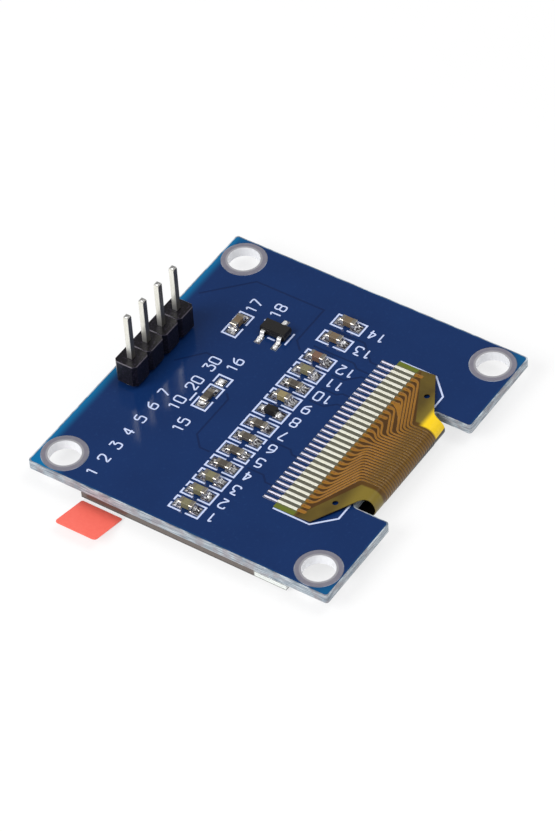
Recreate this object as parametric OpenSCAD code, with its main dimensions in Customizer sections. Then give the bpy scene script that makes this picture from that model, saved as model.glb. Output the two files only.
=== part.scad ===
// Small graphic display module, drawn with its component side up.
// The origin is the centre of the board on its component face. +X runs along
// the pin header, +Y points from the board's middle to the header, and +Z
// leaves the component side. The glass panel hangs under the board, and a
// flexible circuit folds through the notch in the -Y edge to reach it.

/* [Board] */
// Width of the board along X
board_w = 35.4; // [34.8:0.1:42]
// Depth of the board along Y
board_d = 33.5; // [33.2:0.1:40]
// Thickness of the bare laminate
board_t = 1.0; // [0.6:0.1:1.6]
// Radius of the board's outer corners
board_corner_r = 0.3; // [0.1:0.1:0.8]
// Thickness of the solder mask
mask_t = 0.03; // [0.02:0.005:0.06]
// Bare rim between the mask and the board's edge
mask_rim = 0.12; // [0.05:0.01:0.3]
// Clearance of each mask opening round its copper land
mask_gap = 0.06; // [0.03:0.01:0.12]
// Thickness of the copper lands
copper_t = 0.045; // [0.03:0.005:0.08]
// Thickness of the printed ink
ink_t = 0.015; // [0.01:0.005:0.03]
// Width of the printed lines
ink_w = 0.18; // [0.12:0.01:0.24]
// Width of the channels where the mask sinks between areas of copper
channel_w = 0.2; // [0.1:0.05:0.4]
// Depth of those channels
channel_depth = 0.012; // [0.005:0.001:0.015]

/* [Mounting holes] */
// Distance from each mounting hole's centre to the board edges beside it
hole_inset = 2.5; // [2.4:0.05:3]
// Bore of each plated mounting hole
hole_d = 3.2; // [2.2:0.1:3.4]
// Diameter of the ring of copper round each mounting hole
hole_land_d = 4.5; // [3.8:0.1:4.6]
// Wall of the copper plating in the drilled holes
plating_t = 0.05; // [0.02:0.01:0.08]

/* [Notch] */
// Width of the notch in the -Y edge
notch_w = 14.2; // [13.2:0.1:18]
// Depth of the notch
notch_depth = 4.0; // [3.8:0.1:4.4]
// Cutter radius in the notch's inner corners
notch_corner_r = 0.5; // [0.2:0.1:1]

/* [Pin header] */
// Number of pins
header_pins = 4; // [2:1:6]
// Pitch of the pins
pin_pitch = 2.54; // [2.2:0.02:2.8]
// Side of each square pin
pin_w = 0.6; // [0.5:0.02:0.66]
// Length of a pin above its housing
pin_rise = 5.5; // [3:0.1:9]
// Length of a pin past the board's front face
pin_tail = 1.4; // [0.8:0.1:1.4]
// Length of the rounded end of a pin
pin_tip = 0.35; // [0.1:0.05:0.5]
// Clearance of a pin in its housing
pin_fit = 0.01; // [0.005:0.005:0.03]
// Depth of the housing along Y
housing_d = 2.5; // [2.2:0.05:2.8]
// Height of the housing without its feet
housing_h = 2.54; // [1.5:0.02:3]
// Corner cut of each housing unit, seen from above
housing_corner = 0.38; // [0.2:0.02:0.7]
// Bevel round the top of each housing unit
housing_bevel = 0.08; // [0.05:0.01:0.3]
// Height of the feet that hold the housing off the board
foot_h = 0.45; // [0.2:0.05:0.8]
// Setback of the feet from the housing's sides
foot_inset = 0.45; // [0.2:0.05:0.6]
// Finished bore of the plated pin holes
pin_bore_d = 1.0; // [0.96:0.02:1.2]
// Diameter of the copper land round each pin hole
pin_land_d = 1.8; // [1.5:0.1:2]
// Height of the solder cone on each pin
pin_solder_h = 0.8; // [0.4:0.1:1]
// Setback of that cone from the edge of its land
pin_solder_inset = 0.1; // [0.05:0.05:0.2]

/* [Chip parts] */
// Length of a chip capacitor or resistor
chip_l = 1.6; // [1.4:0.05:1.8]
// Width of a chip
chip_w = 0.8; // [0.6:0.05:0.9]
// Height of a capacitor
capacitor_h = 0.75; // [0.5:0.05:1]
// Height of a resistor
resistor_h = 0.45; // [0.3:0.05:0.6]
// Length of the metal cap on each end of a chip
cap_l = 0.38; // [0.2:0.02:0.44]
// Thickness of that metal cap
cap_t = 0.02; // [0.01:0.005:0.04]
// Edge break of chips and moulded bodies
chip_edge = 0.05; // [0.02:0.01:0.08]
// Clear width between the two lands of a chip
land_gap = 0.9; // [0.6:0.05:1]
// Length of each chip land
land_l = 0.95; // [0.8:0.05:1]
// Width of each chip land
land_w = 0.95; // [0.8:0.05:1.1]
// Thickness of the solder under a part
solder_t = 0.03; // [0.02:0.01:0.06]
// Setback of the solder from the edges of its land
solder_inset = 0.04; // [0.02:0.01:0.08]
// Share of the chip's height that its solder fillet climbs
fillet_share = 0.55; // [0.3:0.05:0.9]

/* [Chip row] */
// Kind of each part in the row from -X to +X: C capacitor, R resistor, D diode
row_kinds = "CCCRRRRDCRCCCC";
// Parts at the -X end of the row that stand at the row's pitch
row_run = 12; // [8:1:12]
// X of the first part in the row
row_x = -15.0; // [-15.4:0.1:-14.6]
// Y of the row's centre line
row_y = 0.42; // [0:0.02:1]
// Pitch of the row
row_pitch = 2.02; // [1.95:0.01:2.1]
// X of the first of the parts that stand apart
pair_x = 10.2; // [9.8:0.1:10.6]
// Pitch of the parts that stand apart
pair_pitch = 2.5; // [2:0.1:3]
// Length of the printed box round a chip, between line centres
box_l = 3.23; // [3.1:0.01:3.5]
// Width of the printed box, between line centres
box_w = 1.54; // [1.4:0.01:1.7]
// Gap in each long side of the printed box
box_side_gap = 0.5; // [0.2:0.1:1]
// Gap in an open end of the printed box
box_end_gap = 0.3; // [0.2:0.05:0.6]

/* [Address jumper] */
// X of the resistor that sets the address
jumper_x = -2.3; // [-2.6:0.1:-2]
// Y of the jumper's centre line
jumper_y = 6.72; // [6.4:0.02:7]
// Distance from the resistor to the spare land
spare_offset = 2.3; // [2.2:0.05:2.6]
// Length and width of the spare land
spare_land = 0.9; // [0.7:0.05:1]

/* [Supply capacitor] */
// X of the capacitor beside the regulator
supply_x = 7.33; // [7:0.01:7.6]
// Y of that capacitor
supply_y = 9.72; // [9.5:0.01:10]

/* [Regulator] */
// X of the regulator's centre
reg_x = 8.15; // [7.8:0.05:8.6]
// Y of the regulator's centre
reg_y = 5.85; // [5.5:0.05:6.1]
// Length of the moulded body along Y
reg_l = 2.8; // [2.6:0.05:3.1]
// Width of the moulded body along X
reg_w = 1.35; // [1.2:0.05:1.5]
// Height of the moulded body
reg_h = 0.85; // [0.7:0.05:1.2]
// Gap under the moulded body
reg_lift = 0.08; // [0.04:0.01:0.12]
// Distance between the two leads on one side
lead_pitch = 1.9; // [1.8:0.05:2]
// Width of a lead
lead_w = 0.42; // [0.3:0.02:0.5]
// Thickness of a lead
lead_t = 0.13; // [0.1:0.01:0.16]
// Reach of a lead past the body
lead_reach = 0.66; // [0.5:0.02:0.7]
// Setback of a lead from the sides of its land
lead_land_gap = 0.06; // [0.04:0.01:0.12]
// Draft of the moulded sides, in degrees
mould_draft = 8; // [3:1:12]

/* [Diode] */
// Length of the diode's body
diode_l = 1.2; // [1:0.05:1.3]
// Width of the diode's body
diode_w = 0.85; // [0.7:0.05:0.9]
// Height of the diode's body
diode_h = 0.6; // [0.5:0.05:0.8]
// Reach of a diode lead past the body
diode_reach = 0.22; // [0.15:0.01:0.3]

/* [Flexible circuit] */
// Number of contacts on the board
contacts = 30; // [30:1:30]
// Pitch of the contacts
contact_pitch = 0.7; // [0.68:0.005:0.72]
// Width of a contact land
contact_w = 0.32; // [0.26:0.01:0.36]
// Width of a tinned finger on the film
finger_w = 0.42; // [0.36:0.01:0.48]
// Length of the lands that show past the film
land_show = 1.54; // [1:0.02:2]
// Reach of the film over the board from the notch's edge
film_reach = 6.29; // [6:0.01:6.6]
// Length of the tinned fingers on the film
finger_l = 1.95; // [1.7:0.05:2.1]
// Clearance between the fingers and the bend where the film leaves the board
finger_gap = 0.02; // [0.01:0.01:0.05]
// Width of the film over the contacts
film_w = 21.9; // [21.6:0.1:22.2]
// Thickness of the film
film_t = 0.08; // [0.06:0.01:0.12]
// Raise of the copper tracks on the film
track_t = 0.02; // [0.01:0.005:0.03]
// Length of the film's straight sides
film_side = 4.05; // [3.8:0.05:4.2]
// Gap between the film and its printed outline
guide_gap = 0.02; // [0.01:0.01:0.1]
// Setback of that printed outline from the notch
guide_setback = 0.28; // [0.2:0.02:0.5]
// Width of the neck that folds through the notch
neck_w = 12.1; // [11:0.1:12.6]
// Radius where the shoulders run into the neck
neck_r = 0.3; // [0.2:0.1:1.4]
// Angle at which the film climbs from the board to the fold, in degrees
film_climb = 4.5; // [3:0.5:6]
// Bend radius where the film leaves the board
lift_r = 3; // [2:0.5:5]
// Overlap of the film's lift and fold with its climb, so that they join
film_lap = 0.05; // [0.02:0.01:0.1]
// How far the fold starts past the notch's edge
fold_start = 0.6; // [0.3:0.05:0.8]
// Depth of the film's bond on the glass ledge
bond_d = 1.1; // [0.8:0.05:1.2]
// Diameter of the two location holes
pilot_d = 0.6; // [0.4:0.05:0.8]
// Distance of each location hole from the film's side
pilot_side = 2.97; // [2.6:0.01:3.3]
// Shift of both location holes towards +X
pilot_shift = 0.16; // [-0.3:0.02:0.3]
// Distance of the location holes from the film's edge on the board
pilot_y = 4.84; // [4.5:0.02:4.9]

/* [Copper tracks on the film] */
// Width of a track
track_w = 0.18; // [0.14:0.01:0.2]
// Narrowing of a track at each side where it goes round the fold
track_narrowing = 0.005; // [0.002:0.001:0.02]
// Pitch of the tracks in the neck
track_pitch = 0.342; // [0.3:0.001:0.36]
// Slope of the tracks from their contacts towards the neck
track_slope = 0.47; // [0.42:0.01:0.5]
// Radius at the bends of a track
track_bend_r = 0.45; // [0.25:0.05:0.6]
// Length of the broad start of each track
track_root = 0.75; // [0.5:0.05:0.9]
// Straight run of a track between its broad start and its first bend
track_run_in = 0.1; // [0.05:0.01:0.2]

/* [Display panel] */
// Setback of the glass from the board's sides
glass_side = 0.45; // [0.1:0.05:1]
// Distance from the glass to the header's centre line
glass_gap = 3.15; // [2.8:0.05:4]
// Setback of the ledge's edge from the notch
glass_setback = 0.85; // [0.5:0.05:1.2]
// Thickness of the base glass
base_glass_t = 0.6; // [0.4:0.05:0.8]
// Depth of the ledge that the cover glass leaves free
ledge_d = 3.5; // [3.2:0.1:3.8]
// Thickness of the cover glass
cover_glass_t = 0.57; // [0.4:0.01:0.8]
// Width of the seal round the cover glass's hollow
seal_w = 1.6; // [1:0.1:2]
// Depth of the hollow in the cover glass
hollow_depth = 0.25; // [0.1:0.05:0.3]
// Dark border at the sides of the light-emitting area
emitter_side = 2.54; // [2.1:0.02:3]
// Dark border at its other two edges
emitter_end = 2.4; // [2.1:0.05:3]
// Thickness of the light-emitting layers
emitter_t = 0.02; // [0.01:0.005:0.05]
// Thickness of the polariser
polariser_t = 0.2; // [0.1:0.05:0.3]
// Setback of the polariser from the glass edges
polariser_inset = 0.3; // [0.2:0.05:0.5]
// Thickness of the tape that holds the panel to the board
tape_t = 0.15; // [0.1:0.05:0.3]
// Width of each strip of tape
tape_w = 8; // [4:0.5:12]
// Setback of the tape from the cover glass's edges
tape_inset = 0.8; // [0.4:0.1:2]
// Length of the driver chip on the ledge
driver_l = 11; // [9:0.5:14]
// Width of the driver chip
driver_w = 0.9; // [0.7:0.05:1]
// Thickness of the driver chip
driver_t = 0.3; // [0.2:0.05:0.4]
// Gap between the cover glass and the driver chip
driver_gap = 0.6; // [0.4:0.05:0.8]

/* [Protective film and pull tab] */
// Thickness of the protective film
cover_film_t = 0.08; // [0.05:0.01:0.12]
// Overlap of the protective film past the polariser
cover_film_lap = 0.15; // [0.05:0.05:0.2]
// Distance from the glass to the bend where the film's tongue rises
tongue_bend = 0.2; // [0.1:0.05:0.6]
// Length of the tongue past that bend
tongue_l = 1.3; // [1:0.1:2]
// Angle at which the tongue and the tab rise, in degrees
tab_tilt = 15; // [5:1:25]
// Width of the pull tab along Y
tab_w = 4.65; // [4:0.05:7]
// Length of the pull tab
tab_l = 4.5; // [3.5:0.1:6]
// Distance from the bend to the tab
tab_start = 0.12; // [0.05:0.01:0.5]
// Distance from the tab to the glass's +Y edge
tab_inset = 0.25; // [0.15:0.05:1]
// Thickness of the tab
tab_t = 0.09; // [0.06:0.01:0.15]
// Radius of the tab's corners
tab_corner_r = 0.4; // [0.2:0.05:0.8]

/* [Hidden] */
$fn = 64;
arc_steps = 6;
fold_steps = 28;
lift_steps = 2;
through = 1;

// Heights of the layers, from the component face down to the front
mask_top = mask_t;
land_top = copper_t;
seat = land_top + solder_t;
board_front = -board_t;
mask_front = board_front - mask_t;
cover_top = mask_front - tape_t;
ledge_top = cover_top - cover_glass_t;
base_bottom = ledge_top - base_glass_t;
polariser_bottom = base_bottom - polariser_t;

// The header stands in line with the two mounting holes on its side
hole_x = board_w / 2 - hole_inset;
hole_y = board_d / 2 - hole_inset;
header_y = hole_y;
housing_bottom = mask_top + foot_h;
housing_top = housing_bottom + housing_h;

// The notch's edge, where the flexible circuit starts to fold
notch_y = -board_d / 2 + notch_depth;

// The cover glass ends where the ledge starts
glass_w = board_w - 2 * glass_side;
ledge_y = notch_y + glass_setback;
cover_y = ledge_y + ledge_d;
glass_y = header_y - glass_gap;

// Path of the film's upper face: flat on its contacts, a slight lift, a
// straight climb, the fold round the board's edge and a flat tail on the glass
film_y = notch_y + film_reach;
contact_y = film_y + land_show;
film_seat = seat;
film_top = film_seat + film_t;
lift_y = film_y - finger_l - finger_gap;
lift_in_r = lift_r - film_t;
climb_y = lift_y - lift_in_r * sin(film_climb);
climb_z = film_top + lift_in_r * (1 - cos(film_climb));
fold_y = notch_y - fold_start;
climb_l = (climb_y - fold_y) / cos(film_climb);
fold_top = climb_z + climb_l * sin(film_climb);
bond_z = ledge_top + track_t;
fold_r = (fold_top - bond_z) / (1 + cos(film_climb));
fold_axis_y = fold_y - fold_r * sin(film_climb);
fold_axis_z = bond_z + fold_r;
tail_l = ledge_y + bond_d - fold_axis_y;

// Every chip as [kind, x, y, turn]
row = [for (i = [0 : len(row_kinds) - 1])
    [row_kinds[i], i < row_run ? row_x + i * row_pitch : pair_x + (i - row_run) * pair_pitch, row_y, 90]];
chips = concat(row, [["C", supply_x, supply_y, 0], ["R", jumper_x, jumper_y, 0]]);
capacitors = [for (c = chips) if (c[0] == "C") c];
resistors = [for (c = chips) if (c[0] == "R") c];
diodes = [for (c = chips) if (c[0] == "D") c];
spare_x = jumper_x + spare_offset;

// Boxes in the row, counted from 0, whose +Y or -Y end is printed open
open_tops = [0, 1, 2, 3, 8, 10, 11];
open_bottoms = [4, 5];

// Contacts that carry no track to the neck, and the pair that share one
stubs = [0, 1, 20, 29];
joined = 23;
tracks = [for (k = [0 : contacts - 1]) if (len(search(k, stubs)) == 0) k];
columns = len(tracks) - 1;

// Where the mask sinks between copper areas: routes chosen by hand
channels = [
    [[-8.1, 2.6], [-8.1, 3.7], [-6.8, 4.9], [-1.5, 4.9], [-0.9, 5.5]],
    [[0.2, 12.3], [2.6, 10.2], [2.6, 9.0]],
    [[9.0, 15.4], [13.2, 11.4], [13.2, 3.6], [8.4, 3.6], [7.4, 2.6]],
    [[2.3, -1.8], [2.3, -3.4], [3.2, -4.4], [3.2, -4.8]],
    [[4.2, -1.9], [4.2, -3.6], [4.6, -4.1], [4.6, -4.8]],
    [[6.2, -1.8], [6.2, -3.2], [7.4, -4.4], [7.4, -4.8]],
    [[8.6, 1.8], [8.6, -2.8], [8.1, -3.4], [8.1, -4.8]],
    [[11.4, 1.8], [11.4, -2.2], [9.5, -4.1], [9.5, -4.8]],
    [[-8.0, -1.6], [-8.0, -3.4], [-8.7, -4.1], [-8.7, -4.8]],
    [[-4.0, -1.6], [-4.0, -3.8], [-4.5, -4.3], [-4.5, -4.8]]
];

// ---- Outlines and paths ----

function unit(v) = v / norm(v);

// Points of the arc of radius r that replaces the corner b between a and c
function corner_arc(a, b, c, r) =
    let (
        to_a = unit(a - b),
        to_c = unit(c - b),
        half = acos(to_a * to_c) / 2,
        centre = b + unit(to_a + to_c) * r / sin(half),
        start = b + to_a * r / tan(half) - centre,
        end = b + to_c * r / tan(half) - centre,
        from = atan2(start.y, start.x),
        turn = atan2(end.y, end.x) - from,
        sweep = turn > 180 ? turn - 360 : turn < -180 ? turn + 360 : turn
    )
    [for (i = [0 : arc_steps])
        centre + r * [cos(from + sweep * i / arc_steps), sin(from + sweep * i / arc_steps)]];

// A closed outline whose corner i is rounded to radii[i]
function rounded_outline(points, radii) =
    let (n = len(points))
    [for (i = [0 : n - 1])
        each corner_arc(points[(i + n - 1) % n], points[i], points[(i + 1) % n], radii[i])];

// An open path with its inner corners rounded to one radius
function rounded_path(points, r) =
    let (last = len(points) - 1)
    concat(
        [points[0]],
        [for (i = [1 : last - 1]) each corner_arc(points[i - 1], points[i], points[i + 1], r)],
        [points[last]]
    );

// The direction of a path at its point i
function heading(path, i) =
    unit(
        (i > 0 ? unit(path[i] - path[i - 1]) : [0, 0])
        + (i < len(path) - 1 ? unit(path[i + 1] - path[i]) : [0, 0])
    );

// One side of a ribbon that follows a path
function ribbon_side(path, offset) =
    [for (i = [0 : len(path) - 1])
        let (
            along = heading(path, i),
            step = i > 0 ? unit(path[i] - path[i - 1]) : unit(path[1] - path[0])
        )
        path[i] + [-along.y, along.x] * offset / (along * step)];

// A flat ribbon of one width along a path
module ribbon(path, width) {
    left = ribbon_side(path, width / 2);
    right = ribbon_side(path, -width / 2);
    polygon(concat(left, [for (i = [len(right) - 1 : -1 : 0]) right[i]]));
}

// A block whose twelve edges are cut at 45 degrees, on z = 0
module edged_block(size, edge) {
    intersection() {
        linear_extrude(size.z) edged_face([size.x, size.y], edge);
        translate([0, size.y / 2, size.z / 2]) rotate([90, 0, 0])
            linear_extrude(size.y) edged_face([size.x, size.z], edge);
        translate([-size.x / 2, 0, size.z / 2]) rotate([90, 0, 90])
            linear_extrude(size.x) edged_face([size.y, size.z], edge);
    }
}

// A centred rectangle with cut corners
module edged_face(size, edge) {
    x = size.x / 2;
    y = size.y / 2;
    polygon([
        [-x + edge, -y], [x - edge, -y], [x, -y + edge], [x, y - edge],
        [x - edge, y], [-x + edge, y], [-x, y - edge], [-x, -y + edge]
    ]);
}

// Children at the four mounting holes
module at_holes() {
    for (x = [-1, 1], y = [-1, 1])
        translate([x * hole_x, y * hole_y]) children();
}

// X of header pin i, counted from 1
function pin_x(i) = (i - (header_pins + 1) / 2) * pin_pitch;

// Children at every header pin
module at_pins() {
    for (i = [1 : header_pins]) translate([pin_x(i), header_y]) children();
}

// X of contact k, counted from 0
function contact_x(k) = (k - (contacts - 1) / 2) * contact_pitch;

// Children at a chip's place, turned with it
module at_chip(chip) {
    translate([chip[1], chip[2]]) rotate(chip[3]) children();
}

// ---- Board ----

// Outline of the board, drawn in by a margin
module board_outline(margin) {
    x = board_w / 2 - margin;
    y = board_d / 2 - margin;
    n = notch_w / 2 + margin;
    edge = notch_y + margin;
    r = board_corner_r;
    polygon(rounded_outline(
        [[-x, -y], [-n, -y], [-n, edge], [n, edge], [n, -y], [x, -y], [x, y], [-x, y]],
        [r, r, notch_corner_r, notch_corner_r, r, r, r, r]
    ));
}

// Woven laminate with its drilled holes and the notch
module circuit_board() {
    color("#9fb0bd") translate([0, 0, board_front])
        linear_extrude(board_t) difference() {
            board_outline(0);
            at_holes() circle(d = hole_d + 2 * plating_t);
            at_pins() circle(d = pin_bore_d + 2 * plating_t);
        }
}

// The two lands of a chip, on its own axes and grown by a margin
module chip_lands(grow = 0) {
    for (side = [-1, 1])
        translate([side * (land_gap + land_l) / 2, 0])
            square([land_l + 2 * grow, land_w + 2 * grow], center = true);
}

// The three lands of the regulator, on its own axes
module regulator_lands(grow = 0) {
    for (lead = regulator_places)
        translate([lead.x * (reg_w + lead_reach + land_w) / 2, lead.y])
            square([land_w + 2 * grow, lead_w + 2 * (lead_land_gap + grow)], center = true);
}

// Side of the body and place along it of each regulator lead
regulator_places = [[-1, lead_pitch / 2], [-1, -lead_pitch / 2], [1, 0]];

// Every land that a part is soldered to
module all_part_lands(grow = 0) {
    for (chip = chips) at_chip(chip) chip_lands(grow);
    translate([spare_x, jumper_y]) square(spare_land + 2 * grow, center = true);
    translate([reg_x, reg_y]) regulator_lands(grow);
}

// Every land under and beside the flexible circuit
module all_flex_lands(grow = 0) {
    l = contact_y - film_y + finger_l;
    for (k = [0 : contacts - 1])
        translate([contact_x(k), contact_y - l / 2])
            square([contact_w + 2 * grow, l + 2 * grow], center = true);
}

// Mask with openings for everything that is soldered or drilled
module mask_sheet() {
    difference() {
        board_outline(mask_rim);
        at_holes() circle(d = hole_land_d + 2 * mask_gap);
        at_pins() circle(d = pin_land_d + 2 * mask_gap);
        children();
    }
}

// Mask on the component side, sunk where there is no copper under it
module solder_mask_rear() {
    color("#1a3668") {
        linear_extrude(mask_t - channel_depth) mask_sheet() part_openings();
        translate([0, 0, mask_t - channel_depth])
            linear_extrude(channel_depth) mask_sheet() {
                part_openings();
                for (route = channels) ribbon(route, channel_w);
            }
    }
}

// The openings that only the component side has
module part_openings() {
    all_part_lands(mask_gap);
    all_flex_lands(mask_gap);
}

// Mask on the display side
module solder_mask_front() {
    color("#1a3668") translate([0, 0, mask_front])
        linear_extrude(mask_t) mask_sheet();
}

// A plated hole: a copper sleeve with a flat land on each face
module plated_hole(bore, land) {
    rotate_extrude() polygon([
        [bore / 2, board_front - copper_t], [land / 2, board_front - copper_t],
        [land / 2, board_front], [bore / 2 + plating_t, board_front],
        [bore / 2 + plating_t, 0], [land / 2, 0],
        [land / 2, copper_t], [bore / 2, copper_t]
    ]);
}

// Four tinned sleeves for the mounting screws
module mounting_hole_plating() {
    color("#96949c") at_holes() plated_hole(hole_d, hole_land_d);
}

// Tinned sleeves for the header pins
module header_hole_plating() {
    color("#b4b2b0") at_pins() plated_hole(pin_bore_d, pin_land_d);
}

// Tinned lands of the soldered parts
module component_lands() {
    color("#b8b8bc") linear_extrude(copper_t) all_part_lands();
}

// Tinned lands of the flexible circuit
module flex_lands() {
    color("#c2c6d2") linear_extrude(copper_t) all_flex_lands();
}

// ---- Printed outlines ----

// A printed stroke along a path, with square ends
module stroke(path) {
    ribbon(path, ink_w);
}

// Printed box round a chip, with gaps in its sides and in open ends
module chip_box(open_right = false, open_left = false) {
    x = box_l / 2;
    y = box_w / 2;
    for (side = [-1, 1], half = [-1, 1])
        stroke([[half * box_side_gap / 2, side * y], [half * (x + ink_w / 2), side * y]]);
    box_end(x, y, open_right);
    box_end(-x, y, open_left);
}

// One end of a printed box, in one stroke or open in the middle
module box_end(x, y, open) {
    if (open) {
        for (side = [-1, 1]) stroke([[x, side * box_end_gap / 2], [x, side * y]]);
    } else {
        stroke([[x, -y], [x, y]]);
    }
}

// Whether a list holds a value
function holds(list, value) = len([for (v = list) if (v == value) v]) > 0;

// Printed outline of the flexible circuit on one side of the board
module film_guide() {
    x = film_w / 2 + ink_w / 2 + guide_gap;
    shoulder = film_y - film_side;
    base = notch_y + guide_setback;
    stroke([
        [x, film_y - guide_gap], [x, shoulder],
        [x + base - shoulder, base], [notch_w / 2 + guide_gap, base]
    ]);
}

// Printed marks round the address jumper
module jumper_marks() {
    y = box_w / 2;
    end = spare_x + spare_land / 2 + ink_w * 2;
    open = spare_x - spare_land / 2 + ink_w;
    at_chip([0, jumper_x, jumper_y, 0]) chip_box();
    translate([0, jumper_y]) {
        stroke([[open, y], [end, y], [end, -y], [open, -y]]);
        stroke([[jumper_x - chip_l * 0.75, y + box_side_gap], [jumper_x, y + box_side_gap]]);
    }
}

// Printed marks round the regulator
module regulator_marks() {
    x = reg_w / 2 + ink_w;
    y = reg_l / 2 + ink_w;
    translate([reg_x, reg_y]) {
        stroke([[-x, -lead_w], [-x, lead_w]]);
        stroke([[-x, -y], [x, -y]]);
        stroke([[x + ink_w, y - lead_w], [x + ink_w, y + lead_w]]);
    }
}

// White ink on the component side
module printed_outlines() {
    color("#c8d2ee") translate([0, 0, mask_top]) linear_extrude(ink_t) {
        for (i = [0 : len(row) - 1])
            at_chip(row[i]) chip_box(holds(open_tops, i), holds(open_bottoms, i));
        at_chip([0, supply_x, supply_y, 0]) chip_box();
        film_guide();
        mirror([1, 0]) film_guide();
        jumper_marks();
        regulator_marks();
    }
}

// ---- Pin header ----

// One housing unit, seen from above
module housing_unit_plan() {
    edged_face([pin_pitch, housing_d], housing_corner);
}

// Side view of a housing unit with bevels along its top
module housing_unit_side(width, bevel) {
    x = width / 2;
    polygon([
        [-x, 0], [x, 0], [x, housing_h - bevel],
        [x - bevel, housing_h], [-x + bevel, housing_h], [-x, housing_h - bevel]
    ]);
}

// One moulded unit with its foot, in place on z = 0
module housing_unit() {
    translate([0, 0, foot_h]) intersection() {
        linear_extrude(housing_h) housing_unit_plan();
        translate([0, housing_d / 2, 0]) rotate([90, 0, 0])
            linear_extrude(housing_d) housing_unit_side(pin_pitch, housing_bevel);
        translate([-pin_pitch / 2, 0, 0]) rotate([90, 0, 90])
            linear_extrude(pin_pitch) housing_unit_side(housing_d, housing_bevel);
    }
    linear_extrude(foot_h)
        edged_face([pin_pitch - 2 * foot_inset, housing_d - 2 * foot_inset], housing_corner / 2);
}

// Moulded strip of units, open round every pin
module header_housing() {
    hole = pin_w + 2 * pin_fit;
    color("#17171b") translate([0, 0, mask_top]) difference() {
        at_pins() housing_unit();
        at_pins() translate([0, 0, housing_h / 2]) cube([hole, hole, 4 * housing_h], center = true);
    }
}

// Side view of a pin: square shank with rounded ends, on its own axis
module pin_side(bottom, top) {
    half = pin_w / 2;
    round_r = min(pin_tip, half);
    polygon(rounded_outline(
        [[-half, bottom], [half, bottom], [half, top], [-half, top]],
        [round_r * 0.6, round_r * 0.6, round_r * 0.9, round_r * 0.9]
    ));
}

// Square pin with its edges rounded over at both ends
module header_pin(i) {
    bottom = board_front - pin_tail;
    top = housing_top + pin_rise;
    color("#d8d6d0") translate([pin_x(i), header_y]) intersection() {
        translate([0, pin_w / 2, 0]) rotate([90, 0, 0]) linear_extrude(pin_w) pin_side(bottom, top);
        translate([-pin_w / 2, 0, 0]) rotate([90, 0, 90]) linear_extrude(pin_w) pin_side(bottom, top);
    }
}

// Solder that fills each pin hole and rises round the tail on the display side
module header_solder() {
    face = board_front - copper_t;
    rim = pin_land_d / 2 - pin_solder_inset;
    neck = pin_w * 0.75;
    color("#c4c4c6") at_pins() difference() {
        rotate_extrude() polygon(concat(
            [[0, 0], [pin_bore_d / 2, 0], [pin_bore_d / 2, face], [rim, face]],
            [for (i = [1 : arc_steps])
                [neck + (rim - neck) * (1 - sin(90 * i / arc_steps)),
                    face - pin_solder_h * (1 - cos(90 * i / arc_steps))]],
            [[0, face - pin_solder_h]]
        ));
        cube([pin_w, pin_w, 4 * (board_t + pin_tail)], center = true);
    }
}

// ---- Chip capacitors, resistors and diode ----

// Ceramic block of a chip, between its metal caps
module chip_body(height) {
    translate([0, 0, seat + cap_t])
        edged_block([chip_l - 2 * cap_t, chip_w - 2 * cap_t, height - 2 * cap_t], chip_edge);
}

// Metal caps on both ends of a chip
module chip_end_caps(height) {
    difference() {
        translate([0, 0, seat]) edged_block([chip_l, chip_w, height], chip_edge);
        chip_body(height);
        translate([0, 0, seat + height / 2])
            cube([chip_l - 2 * cap_l, 2 * chip_w, 2 * height], center = true);
    }
}

module capacitor_body(i) {
    color("#a98d6d") at_chip(capacitors[i]) chip_body(capacitor_h);
}

module capacitor_end_caps(i) {
    color("#bcbab6") at_chip(capacitors[i]) chip_end_caps(capacitor_h);
}

module resistor_body(i) {
    color("#26262a") at_chip(resistors[i]) chip_body(resistor_h);
}

module resistor_end_caps(i) {
    color("#bcbab6") at_chip(resistors[i]) chip_end_caps(resistor_h);
}

// Side view of a moulded body, widest at the lead line
module moulded_side(width, height, line) {
    x = width / 2;
    low = line - lead_t / 2;
    high = line + lead_t / 2;
    slope = tan(mould_draft);
    polygon([
        [-x + low * slope, 0], [x - low * slope, 0], [x, low], [x, high],
        [x - (height - high) * slope, height], [-x + (height - high) * slope, height],
        [-x, high], [-x, low]
    ]);
}

// Moulded block with draft on all four sides, on z = 0
module moulded_block(size, line) {
    intersection() {
        translate([0, size.y / 2, 0]) rotate([90, 0, 0])
            linear_extrude(size.y) moulded_side(size.x, size.z, line);
        translate([-size.x / 2, 0, 0]) rotate([90, 0, 90])
            linear_extrude(size.x) moulded_side(size.y, size.z, line);
    }
}

// The diode's moulded body rests on its own leads
module diode_body() {
    color("#141416") at_chip(diodes[0]) translate([0, 0, seat])
        moulded_block([diode_l, diode_w, diode_h], lead_t / 2);
}

// Two flat leads, flush with the underside of the diode
module diode_leads() {
    color("#c8c8ca") at_chip(diodes[0]) for (side = [-1, 1])
        translate([side * (diode_l + diode_reach) / 2, 0, seat + lead_t / 2])
            cube([diode_reach, lead_w, lead_t], center = true);
}

// ---- Regulator ----

reg_line = reg_h / 2;

module regulator_body() {
    color("#141416") translate([reg_x, reg_y, seat + reg_lift])
        moulded_block([reg_w, reg_l, reg_h], reg_line);
}

// Side view of a formed lead: out of the body, down and flat on its land
module lead_side() {
    top = seat + reg_lift + reg_line;
    knee = lead_reach * 0.35;
    path = [
        [reg_w / 2, top], [reg_w / 2 + knee, top],
        [reg_w / 2 + knee + lead_t, seat + lead_t / 2], [reg_w / 2 + lead_reach, seat + lead_t / 2]
    ];
    ribbon(rounded_path(path, lead_t * 0.8), lead_t);
}

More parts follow.
